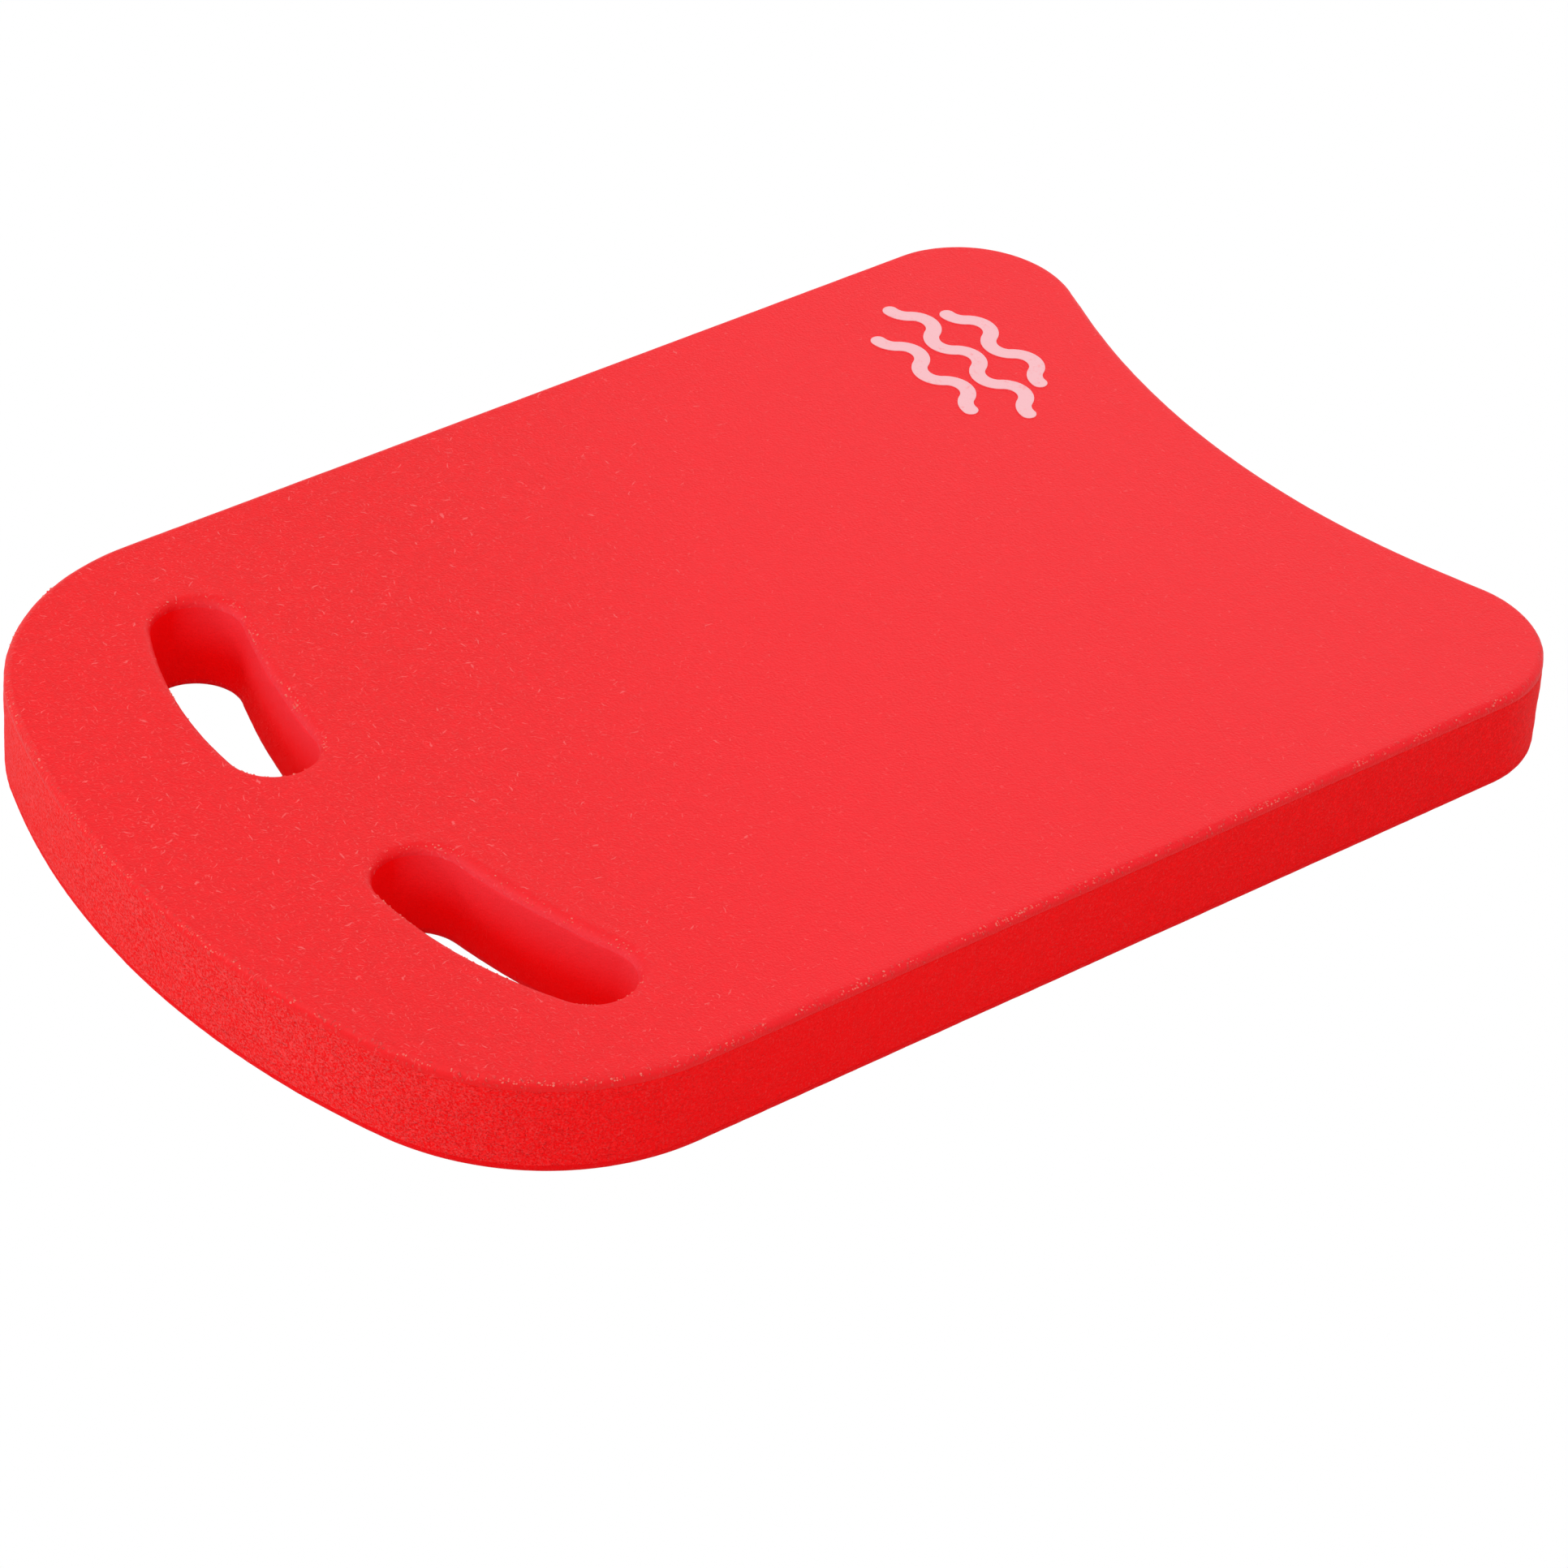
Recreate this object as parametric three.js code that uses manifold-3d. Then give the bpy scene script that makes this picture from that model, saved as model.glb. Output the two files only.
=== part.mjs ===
// A swimmer's kickboard of closed-cell foam, held by two hand slots near its nose.
//
// The board is a sandwich: a thick foam core with a thinner foam sheet bonded over each face.
// All three layers share one plan: a rounded nose, straight sides, and a tail with a shallow
// notch between two round lobes. The slots go through all three. A small mark of three waves
// is printed on the top face, near the left tail lobe.
//
// Frame, in millimetres: +X to the right, +Y from nose to tail, +Z up. The origin is the middle
// of the underside.

import * as THREE from 'three';
import { mergeVertices } from 'three/addons/utils/BufferGeometryUtils.js';
import Module from 'manifold-3d';

// Board plan
const BOARD_LENGTH = 438;
const BOARD_WIDTH = 300;
const NOSE_RADIUS = 286;
const NOSE_CORNER_RADIUS = 80;
const TAIL_LOBE_RADIUS = 36.6;
const TAIL_NOTCH_DEPTH = 20.7;
const TAIL_SHOULDER_STRAIGHT = 17.7;

// Board section
const BOARD_THICKNESS = 33.6;
const FACE_SHEET_THICKNESS = 3.2;
const RIM_RADIUS = 2.6;

// Hand slots: a bean with two round ends, a palm edge that bulges in and a finger edge that
// bulges out
const SLOT_WEB_WIDTH = 48.4;
const SLOT_END_RADIUS = 14.4;
const SLOT_END_SPACING = 64.2;
const SLOT_SWEEP_ANGLE = THREE.MathUtils.degToRad(13.6);
const SLOT_NOSE_SETBACK = 72;
const SLOT_PALM_RADIUS = 273;
const SLOT_FINGER_RADIUS = 144;

// Printed mark
const INK_THICKNESS = 0.2;
const INK_STROKE_WIDTH = 5.2;
const WAVE_HEIGHT = 3.4;
const WAVE_PITCH = 24;
const WAVE_ROW_SPACING = 14.5;
const WAVE_CREST_COUNTS = [2, 3, 2];
const MARK_SIDE_SETBACK = 62;
const MARK_TAIL_SETBACK = 58;

// Fineness of curves
const ARC_DIVISIONS = 8;
const RIM_DIVISIONS = 3;
const WAVE_STEPS_PER_CREST = 10;
const INK_END_DIVISIONS = 4;

const HALF_WIDTH = BOARD_WIDTH / 2;
const NOSE_Y = -BOARD_LENGTH / 2;
const TAIL_Y = BOARD_LENGTH / 2;

const wasm = await Module();
wasm.setup();

// ---------------------------------------------------------------- materials

function foamMaterial(name, color) {
  return new THREE.MeshStandardMaterial({ name, color, roughness: 0.75, metalness: 0 });
}

const topFoam = foamMaterial('top_foam', 0xf03a40);
const coreFoam = foamMaterial('core_foam', 0xe2181c);
const bottomFoam = foamMaterial('bottom_foam', 0xe8262b);

function inkMaterial() {
  return new THREE.MeshStandardMaterial({
    name: 'ink', color: 0xffc3c8, roughness: 0.6, metalness: 0,
  });
}

// ---------------------------------------------------------------- plan geometry

function angleFrom(centre, point) {
  return Math.atan2(point.y - centre.y, point.x - centre.x);
}

// Adds the arc about centre that runs from one point on it to another.
function arcBetween(path, centre, radius, from, to, clockwise) {
  path.absarc(centre.x, centre.y, radius, angleFrom(centre, from), angleFrom(centre, to), clockwise);
}

function mirrored(point) {
  return new THREE.Vector2(-point.x, point.y);
}

// The round nose corner touches the nose arc from inside and the straight side.
function noseGeometry() {
  const arcCentre = new THREE.Vector2(0, NOSE_Y + NOSE_RADIUS);
  const cornerX = HALF_WIDTH - NOSE_CORNER_RADIUS;
  const rise = Math.sqrt((NOSE_RADIUS - NOSE_CORNER_RADIUS) ** 2 - cornerX ** 2);
  const cornerCentre = new THREE.Vector2(cornerX, arcCentre.y - rise);
  const outward = cornerCentre.clone().sub(arcCentre).normalize();
  const arcEnd = arcCentre.clone().addScaledVector(outward, NOSE_RADIUS);
  const sideStart = new THREE.Vector2(HALF_WIDTH, cornerCentre.y);
  return { arcCentre, cornerCentre, arcEnd, sideStart };
}

// The tail lobe and the notch arc are joined by a short straight that touches both, and the
// notch radius follows from it.
function tailGeometry() {
  const lobeX = HALF_WIDTH - TAIL_LOBE_RADIUS;
  const radiusSum =
    (lobeX ** 2 + TAIL_NOTCH_DEPTH ** 2 - TAIL_SHOULDER_STRAIGHT ** 2) / (2 * TAIL_NOTCH_DEPTH);
  const notchRadius = radiusSum - TAIL_LOBE_RADIUS;
  const lobeCentre = new THREE.Vector2(lobeX, TAIL_Y - TAIL_LOBE_RADIUS);
  const notchCentre = new THREE.Vector2(0, TAIL_Y - TAIL_NOTCH_DEPTH + notchRadius);
  const turn = Math.atan2(TAIL_SHOULDER_STRAIGHT, radiusSum);
  const across = notchCentre.clone().sub(lobeCentre).normalize();
  across.rotateAround(new THREE.Vector2(), -turn);
  const lobeEnd = lobeCentre.clone().addScaledVector(across, TAIL_LOBE_RADIUS);
  const notchStart = notchCentre.clone().addScaledVector(across, -notchRadius);
  const sideEnd = new THREE.Vector2(HALF_WIDTH, lobeCentre.y);
  return { lobeCentre, notchCentre, notchRadius, lobeEnd, notchStart, sideEnd };
}

// The board's plan, counter-clockwise from the left end of the nose arc.
function boardOutline() {
  const nose = noseGeometry();
  const tail = tailGeometry();
  const shape = new THREE.Shape();
  arcBetween(shape, nose.arcCentre, NOSE_RADIUS, mirrored(nose.arcEnd), nose.arcEnd, false);
  arcBetween(shape, nose.cornerCentre, NOSE_CORNER_RADIUS, nose.arcEnd, nose.sideStart, false);
  arcBetween(shape, tail.lobeCentre, TAIL_LOBE_RADIUS, tail.sideEnd, tail.lobeEnd, false);
  arcBetween(shape, tail.notchCentre, tail.notchRadius, tail.notchStart, mirrored(tail.notchStart), true);
  arcBetween(shape, mirrored(tail.lobeCentre), TAIL_LOBE_RADIUS,
    mirrored(tail.lobeEnd), mirrored(tail.sideEnd), false);
  arcBetween(shape, mirrored(nose.cornerCentre), NOSE_CORNER_RADIUS,
    mirrored(nose.sideStart), mirrored(nose.arcEnd), false);
  return shape;
}

// Centre of the circle of the given radius that passes beside both slot ends. The palm circle
// touches them from outside, the finger circle holds them inside.
function slotEdgeCentre(middle, towardTail, distanceToEnds) {
  const rise = Math.sqrt(distanceToEnds ** 2 - (SLOT_END_SPACING / 2) ** 2);
  return middle.clone().addScaledVector(towardTail, rise);
}

function pointOnCircle(centre, radius, through) {
  const direction = through.clone().sub(centre).normalize();
  return centre.clone().addScaledVector(direction, radius);
}

// One hand slot's plan, on the right for side = 1 and on the left for side = -1.
function slotOutline(side) {
  const along = new THREE.Vector2(Math.cos(SLOT_SWEEP_ANGLE), Math.sin(SLOT_SWEEP_ANGLE));
  const towardTail = new THREE.Vector2(-along.y, along.x);
  const inner = new THREE.Vector2(SLOT_WEB_WIDTH / 2 + SLOT_END_RADIUS, NOSE_Y + SLOT_NOSE_SETBACK);
  const outer = inner.clone().addScaledVector(along, SLOT_END_SPACING);
  const middle = inner.clone().lerp(outer, 0.5);
  const palm = slotEdgeCentre(middle, towardTail, SLOT_PALM_RADIUS + SLOT_END_RADIUS);
  const finger = slotEdgeCentre(middle, towardTail, SLOT_FINGER_RADIUS - SLOT_END_RADIUS);
  const palmInner = pointOnCircle(palm, SLOT_PALM_RADIUS, inner);
  const palmOuter = pointOnCircle(palm, SLOT_PALM_RADIUS, outer);
  const fingerInner = pointOnCircle(finger, SLOT_FINGER_RADIUS, inner);
  const fingerOuter = pointOnCircle(finger, SLOT_FINGER_RADIUS, outer);

  const place = (point) => (side > 0 ? point : mirrored(point));
  const clockwise = side < 0;
  const arcs = [
    [finger, SLOT_FINGER_RADIUS, fingerInner, fingerOuter, clockwise],
    [outer, SLOT_END_RADIUS, fingerOuter, palmOuter, clockwise],
    [palm, SLOT_PALM_RADIUS, palmOuter, palmInner, !clockwise],
    [inner, SLOT_END_RADIUS, palmInner, fingerInner, clockwise],
  ];
  const path = new THREE.Path();
  for (const [centre, radius, from, to, turnsClockwise] of arcs) {
    arcBetween(path, place(centre), radius, place(from), place(to), turnsClockwise);
  }
  return path;
}

// ---------------------------------------------------------------- solids

function toManifold(geometry) {
  const bare = geometry.clone();
  bare.deleteAttribute('normal');
  bare.deleteAttribute('uv');
  const welded = mergeVertices(bare);
  const mesh = new wasm.Mesh({
    numProp: 3,
    vertProperties: new Float32Array(welded.attributes.position.array),
    triVerts: new Uint32Array(welded.index.array),
  });
  return new wasm.Manifold(mesh);
}

function toGeometry(manifold) {
  const mesh = manifold.getMesh();
  const geometry = new THREE.BufferGeometry();
  geometry.setAttribute('position', new THREE.BufferAttribute(mesh.vertProperties, 3));
  geometry.setIndex(new THREE.BufferAttribute(mesh.triVerts, 1));
  geometry.computeVertexNormals();
  return geometry;
}

// The whole board, with its outer rims and slot rims rounded on both faces.
function boardBlank() {
  const plan = boardOutline();
  plan.holes.push(slotOutline(1), slotOutline(-1));
  const geometry = new THREE.ExtrudeGeometry(plan, {
    depth: BOARD_THICKNESS - 2 * RIM_RADIUS,
    curveSegments: ARC_DIVISIONS,
    bevelEnabled: true,
    bevelThickness: RIM_RADIUS,
    bevelSize: RIM_RADIUS,
    bevelOffset: -RIM_RADIUS,
    bevelSegments: RIM_DIVISIONS,
  });
  geometry.translate(0, 0, RIM_RADIUS);
  return toManifold(geometry);
}

// A block wider and longer than the board, from one height to another.
function slab(bottom, top) {
  const geometry = new THREE.BoxGeometry(2 * BOARD_WIDTH, 2 * BOARD_LENGTH, top - bottom);
  geometry.translate(0, 0, (bottom + top) / 2);
  return toManifold(geometry);
}

// The board's three bonded layers, which meet on the bond planes.
function boardLayers() {
  const blank = boardBlank();
  const above = slab(BOARD_THICKNESS - FACE_SHEET_THICKNESS, 2 * BOARD_THICKNESS);
  const below = slab(-BOARD_THICKNESS, FACE_SHEET_THICKNESS);
  return {
    top: toGeometry(blank.intersect(above)),
    core: toGeometry(blank.subtract(above).subtract(below)),
    bottom: toGeometry(blank.intersect(below)),
  };
}

// ---------------------------------------------------------------- printed mark

// The round end of a stroke at x, level with the wave's troughs. firstAngle is where it starts.
function strokeEnd(x, firstAngle) {
  const radius = INK_STROKE_WIDTH / 2;
  const points = [];
  for (let i = 1; i < INK_END_DIVISIONS; i += 1) {
    const angle = firstAngle + (i / INK_END_DIVISIONS) * Math.PI;
    points.push(new THREE.Vector2(x + radius * Math.cos(angle), -WAVE_HEIGHT + radius * Math.sin(angle)));
  }
  return points;
}

// One wavy stroke of even width with round ends, from trough to trough, centred on the origin.
function waveStroke(crests) {
  const length = crests * WAVE_PITCH;
  const steps = crests * WAVE_STEPS_PER_CREST;
  const turnsPerLength = (2 * Math.PI) / WAVE_PITCH;
  const upper = [];
  const lower = [];
  for (let i = 0; i <= steps; i += 1) {
    const x = (i / steps) * length;
    const centre = new THREE.Vector2(x - length / 2, -WAVE_HEIGHT * Math.cos(x * turnsPerLength));
    const heading = Math.atan(WAVE_HEIGHT * turnsPerLength * Math.sin(x * turnsPerLength));
    const across = new THREE.Vector2(-Math.sin(heading), Math.cos(heading));
    upper.push(centre.clone().addScaledVector(across, INK_STROKE_WIDTH / 2));
    lower.push(centre.clone().addScaledVector(across, -INK_STROKE_WIDTH / 2));
  }
  const rightEnd = strokeEnd(length / 2, -Math.PI / 2);
  const leftEnd = strokeEnd(-length / 2, Math.PI / 2);
  return new THREE.Shape([...lower, ...rightEnd, ...upper.reverse(), ...leftEnd]);
}

function printedWaves() {
  const x = -HALF_WIDTH + MARK_SIDE_SETBACK;
  const y = TAIL_Y - MARK_TAIL_SETBACK;
  const middleRow = (WAVE_CREST_COUNTS.length - 1) / 2;
  return WAVE_CREST_COUNTS.map((crests, row) => {
    const geometry = new THREE.ExtrudeGeometry(waveStroke(crests), {
      depth: INK_THICKNESS,
      bevelEnabled: false,
    });
    const mesh = new THREE.Mesh(geometry, inkMaterial());
    mesh.name = `printed_wave_${row + 1}`;
    mesh.position.set(x, y + (row - middleRow) * WAVE_ROW_SPACING, BOARD_THICKNESS);
    return mesh;
  });
}

// ---------------------------------------------------------------- assembly

function namedMesh(name, geometry, material) {
  const mesh = new THREE.Mesh(geometry, material);
  mesh.name = name;
  return mesh;
}

const layers = boardLayers();
const kickboard = new THREE.Group();
kickboard.add(namedMesh('top_sheet', layers.top, topFoam));
kickboard.add(namedMesh('foam_core', layers.core, coreFoam));
kickboard.add(namedMesh('bottom_sheet', layers.bottom, bottomFoam));
kickboard.add(...printedWaves());

export default kickboard;
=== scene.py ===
import math
import random

import bpy
import numpy as np
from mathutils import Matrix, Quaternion, Vector


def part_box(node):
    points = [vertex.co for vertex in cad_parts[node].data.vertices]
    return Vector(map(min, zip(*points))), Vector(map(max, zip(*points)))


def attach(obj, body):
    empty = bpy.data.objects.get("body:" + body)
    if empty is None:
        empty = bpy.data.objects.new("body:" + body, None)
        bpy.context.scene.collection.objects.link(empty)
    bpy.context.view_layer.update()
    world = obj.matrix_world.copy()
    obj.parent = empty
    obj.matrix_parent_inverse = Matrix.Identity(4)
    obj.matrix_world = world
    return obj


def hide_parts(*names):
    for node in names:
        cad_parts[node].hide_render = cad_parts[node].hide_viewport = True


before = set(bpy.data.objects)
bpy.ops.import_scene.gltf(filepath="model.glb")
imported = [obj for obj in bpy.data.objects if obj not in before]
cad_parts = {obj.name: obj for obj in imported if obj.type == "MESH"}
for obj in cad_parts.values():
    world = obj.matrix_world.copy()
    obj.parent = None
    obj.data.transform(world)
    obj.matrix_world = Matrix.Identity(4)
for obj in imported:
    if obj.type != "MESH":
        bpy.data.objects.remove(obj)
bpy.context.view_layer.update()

# A swimmer's kickboard of red closed-cell foam: a core between two face sheets, two hand slots, a
# printed mark of three waves, and the small nibs of foam that the cutter leaves on the upper rim.
# +X is to the right, +Y from nose to tail and +Z up, and the board lies on z = 0.

# ------------------------------------------------------------------ sizes, in metres
MM = 0.001
TOP_LOW, TOP_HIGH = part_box("top_sheet")
CORE_LOW, CORE_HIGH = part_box("foam_core")
HALF_WIDTH = TOP_HIGH.x
NOSE_Y = TOP_LOW.y
TAIL_Y = -NOSE_Y
THICKNESS = TOP_HIGH.z
UPPER_BOND = CORE_HIGH.z
LOWER_BOND = CORE_LOW.z

# plan of the board, as it is cut
NOSE_RADIUS = 286 * MM
NOSE_CORNER_RADIUS = 80 * MM
TAIL_LOBE_RADIUS = 36.6 * MM
TAIL_NOTCH_DEPTH = 20.7 * MM
TAIL_SHOULDER_STRAIGHT = 17.7 * MM
SLOT_WEB_WIDTH = 48.4 * MM
SLOT_END_RADIUS = 14.4 * MM
SLOT_END_SPACING = 64.2 * MM
SLOT_SWEEP_ANGLE = math.radians(13.6)
SLOT_NOSE_SETBACK = 72 * MM
SLOT_PALM_RADIUS = 273 * MM
SLOT_FINGER_RADIUS = 144 * MM
RIM_RADIUS = 2.6 * MM
PALM_RIM_RADIUS = 4.5 * MM

# fineness of the mesh
OUTLINE_STEP = 0.8 * MM
WALL_ROW_STEP = 0.8 * MM
RIM_STEPS = 7
WELD = 0.01 * MM
BOND_CHAMFER = 0.13 * MM
COLLAR = 0.15 * MM           # flat strip between the widest rim, or a chamfer, and the ring inside it
SMOOTH_ANGLE = math.radians(30)

# the box round the walls and rims of both hand slots, clear of the board's own edge
SLOT_MARGIN = 6 * MM
SLOT_REGION_X = (SLOT_WEB_WIDTH / 2 + SLOT_END_SPACING * math.cos(SLOT_SWEEP_ANGLE)
                 + 2 * SLOT_END_RADIUS + SLOT_MARGIN)
SLOT_INNER_Y = NOSE_Y + SLOT_NOSE_SETBACK
SLOT_OUTER_Y = SLOT_INNER_Y + SLOT_END_SPACING * math.sin(SLOT_SWEEP_ANGLE)
SLOT_REGION_Y = (SLOT_INNER_Y - SLOT_END_RADIUS - SLOT_MARGIN, SLOT_OUTER_Y + SLOT_END_RADIUS + SLOT_MARGIN)

# soft lumps in the rims and walls: size of a lump, and how far in and out it goes
BROAD_LUMPS = (12 * MM, 0.3 * MM)
FINE_LUMPS = (3 * MM, 0.25 * MM)
RELIEF_GRADES = 10           # steps in how far relief acts, from none on the flat to all on a wall
FLAT_LIMIT = 0.002           # a point whose normal is this near to straight up is not on a rim

# surroundings
FLOOR_SIZE = 8.0
FLOOR_GAP = 0.3 * MM
FLOOR_SHADE = (0.93, 0.93, 0.93, 1)
WHITE = (1, 1, 1, 1)
SKY_LIGHT = 0.80


# ------------------------------------------------------------------ small modelling helpers
def deselect_all():
    bpy.ops.object.select_all(action="DESELECT")


def make_active(obj):
    deselect_all()
    obj.select_set(True)
    bpy.context.view_layer.objects.active = obj


def edit(obj):
    make_active(obj)
    bpy.ops.object.mode_set(mode="EDIT")


def leave_edit():
    bpy.ops.object.mode_set(mode="OBJECT")


def read_vectors(items, name):
    """The place or normal of every vertex or face, as rows of three numbers."""
    vectors = np.empty(len(items) * 3)
    items.foreach_get(name, vectors)
    return vectors.reshape(-1, 3)


def vertex_places(obj):
    return read_vectors(obj.data.vertices, "co")


def vertex_normals(obj):
    return read_vectors(obj.data.vertices, "normal")


def choose(obj, kind, mask):
    """In edit mode, selects only the vertices, edges or faces where mask is true."""
    bpy.ops.mesh.select_mode(type={"vertices": "VERT", "edges": "EDGE", "polygons": "FACE"}[kind])
    bpy.ops.mesh.select_all(action="DESELECT")
    bpy.ops.object.mode_set(mode="OBJECT")
    getattr(obj.data, kind).foreach_set("select", np.asarray(mask, dtype=bool))
    bpy.ops.object.mode_set(mode="EDIT")


def edge_ends(obj):
    ends = np.empty(len(obj.data.edges) * 2, dtype=np.int32)
    obj.data.edges.foreach_get("vertices", ends)
    return ends.reshape(-1, 2)


def give_material(obj, material):
    obj.data.materials.clear()
    obj.data.materials.append(material)


def apply_modifier(obj, kind, **settings):
    modifier = obj.modifiers.new(kind.lower(), kind)
    for key, value in settings.items():
        setattr(modifier, key, value)
    make_active(obj)
    bpy.ops.object.modifier_apply(modifier=modifier.name)


# ------------------------------------------------------------------ the board's plan
def direction(angle):
    return Vector((math.cos(angle), math.sin(angle)))


def angle_of(centre, point):
    return math.atan2(point.y - centre.y, point.x - centre.x)


def start_point(name, place, height):
    """A new object that is one vertex, selected in edit mode."""
    deselect_all()
    bpy.ops.mesh.primitive_plane_add(size=MM, location=(place.x, place.y, height))
    obj = bpy.context.object
    obj.name = name
    bpy.ops.object.transform_apply(location=True)
    bpy.ops.object.mode_set(mode="EDIT")
    bpy.ops.mesh.select_mode(type="VERT")
    bpy.ops.mesh.select_all(action="SELECT")
    bpy.ops.mesh.merge(type="CENTER")
    return obj


def draw_arc(centre, radius, start, end, height):
    """Carries the selected end vertex round centre, from one angle to another."""
    steps = max(4, round(abs(end - start) * radius / OUTLINE_STEP))
    bpy.ops.mesh.spin(steps=steps, angle=start - end, center=(centre.x, centre.y, height), axis=(0, 0, 1))


def draw_line(start, end):
    """Carries the selected end vertex straight on, in short steps."""
    steps = max(2, round((end - start).length / OUTLINE_STEP))
    step = (end - start) / steps
    for _ in range(steps):
        bpy.ops.mesh.extrude_region_move(TRANSFORM_OT_translate={"value": (step.x, step.y, 0)})


def draw_half_outline(height):
    """The right half of the board's edge, from the nose tip to the middle of the tail notch."""
    nose = Vector((0, NOSE_Y + NOSE_RADIUS))
    corner_x = HALF_WIDTH - NOSE_CORNER_RADIUS
    rise = math.sqrt((NOSE_RADIUS - NOSE_CORNER_RADIUS) ** 2 - corner_x ** 2)
    corner = Vector((corner_x, nose.y - rise))
    corner_start = angle_of(nose, corner)
    lobe_x = HALF_WIDTH - TAIL_LOBE_RADIUS
    radius_sum = (lobe_x ** 2 + TAIL_NOTCH_DEPTH ** 2 - TAIL_SHOULDER_STRAIGHT ** 2) / (2 * TAIL_NOTCH_DEPTH)
    notch_radius = radius_sum - TAIL_LOBE_RADIUS
    lobe = Vector((lobe_x, TAIL_Y - TAIL_LOBE_RADIUS))
    notch = Vector((0, TAIL_Y - TAIL_NOTCH_DEPTH + notch_radius))
    lobe_end = angle_of(lobe, notch) - math.atan2(TAIL_SHOULDER_STRAIGHT, radius_sum)
    shoulder_start = lobe + direction(lobe_end) * TAIL_LOBE_RADIUS
    shoulder_end = notch - direction(lobe_end) * notch_radius

    obj = start_point("outline", Vector((0, NOSE_Y)), height)
    draw_arc(nose, NOSE_RADIUS, -math.pi / 2, corner_start, height)
    draw_arc(corner, NOSE_CORNER_RADIUS, corner_start, 0, height)
    draw_line(Vector((HALF_WIDTH, corner.y)), Vector((HALF_WIDTH, lobe.y)))
    draw_arc(lobe, TAIL_LOBE_RADIUS, 0, lobe_end, height)
    draw_line(shoulder_start, shoulder_end)
    draw_arc(notch, notch_radius, angle_of(notch, shoulder_end), -math.pi / 2, height)
    leave_edit()
    return obj


def draw_slot(height):
    """The right hand slot's edge, starting at the finger side of its inner end."""
    along = direction(SLOT_SWEEP_ANGLE)
    to_tail = Vector((-along.y, along.x))
    inner = Vector((SLOT_WEB_WIDTH / 2 + SLOT_END_RADIUS, NOSE_Y + SLOT_NOSE_SETBACK))
    outer = inner + along * SLOT_END_SPACING
    middle = (inner + outer) / 2
    half_spacing = SLOT_END_SPACING / 2
    palm = middle + to_tail * math.sqrt((SLOT_PALM_RADIUS + SLOT_END_RADIUS) ** 2 - half_spacing ** 2)
    finger = middle + to_tail * math.sqrt((SLOT_FINGER_RADIUS - SLOT_END_RADIUS) ** 2 - half_spacing ** 2)
    finger_inner = angle_of(finger, inner)
    finger_outer = angle_of(finger, outer)
    palm_outer = angle_of(palm, outer)
    palm_inner = angle_of(palm, inner)
    turn = 2 * math.pi

    obj = start_point("slot", finger + direction(finger_inner) * SLOT_FINGER_RADIUS, height)
    draw_arc(finger, SLOT_FINGER_RADIUS, finger_inner, finger_outer, height)
    draw_arc(outer, SLOT_END_RADIUS, finger_outer, palm_outer + math.pi, height)
    draw_arc(palm, SLOT_PALM_RADIUS, palm_outer, palm_inner, height)
    draw_arc(inner, SLOT_END_RADIUS, palm_inner + math.pi, finger_inner + turn, height)
    leave_edit()
    return obj


def cut_plan(name, height):
    """The board's whole plan at one height, as a flat filled sheet with its two slots open."""
    outline = draw_half_outline(height)
    slot = draw_slot(height)
    make_active(outline)
    slot.select_set(True)
    bpy.ops.object.join()
    outline.name = name
    outline.data.name = name
    apply_modifier(outline, "MIRROR", use_axis=(True, False, False), merge_threshold=WELD)
    edit(outline)
    bpy.ops.mesh.select_all(action="SELECT")
    bpy.ops.mesh.remove_doubles(threshold=WELD)
    bpy.ops.mesh.fill(use_beauty=False)
    bpy.ops.mesh.normals_make_consistent(inside=False)
    leave_edit()
    return outline


# ------------------------------------------------------------------ the foam layers
def upright_faces(obj):
    """True for each face that stands more than it lies."""
    return np.abs(read_vectors(obj.data.polygons, "normal")[:, 2]) < 0.5


def wall_vertices(obj):
    """True for each vertex that an upright face uses."""
    used = np.zeros(len(obj.data.vertices), dtype=bool)
    for face in np.flatnonzero(upright_faces(obj)):
        used[list(obj.data.polygons[int(face)].vertices)] = True
    return used


def at_height(obj, height):
    return np.abs(vertex_places(obj)[:, 2] - height) < WELD


def close_end(obj, height, ring_width, outward):
    """Closes one open end of the walls with a flat face that has two even rings round its edge."""
    edit(obj)
    choose(obj, "edges", at_height(obj, height)[edge_ends(obj)].all(axis=1))
    bpy.ops.mesh.extrude_region_move(TRANSFORM_OT_translate={"value": (0, 0, outward * MM)})
    bpy.ops.transform.shrink_fatten(value=-2 * ring_width, use_even_offset=True)
    bpy.ops.transform.translate(value=(0, 0, -outward * MM))
    bpy.ops.mesh.fill(use_beauty=True)
    leave_edit()
    level = at_height(obj, height)
    outline = wall_vertices(obj) & level
    across = level[edge_ends(obj)].all(axis=1) & (outline[edge_ends(obj)].sum(axis=1) == 1)
    edit(obj)
    choose(obj, "edges", across)
    bpy.ops.mesh.subdivide(number_cuts=1)
    bpy.ops.mesh.select_all(action="SELECT")
    bpy.ops.mesh.normals_make_consistent(inside=False)
    leave_edit()


def outline_edges(obj, height):
    """True for the edges where the flat face at this height meets the walls."""
    outline = wall_vertices(obj) & at_height(obj, height)
    return outline[edge_ends(obj)].all(axis=1)


def palm_side(normals):
    """How squarely each point faces the nose, from 0 to 1. In a slot, the palm's side does."""
    return np.clip(-normals[:, 1] / np.hypot(normals[:, 0], normals[:, 1]).clip(WELD), 0, 1)


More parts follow.
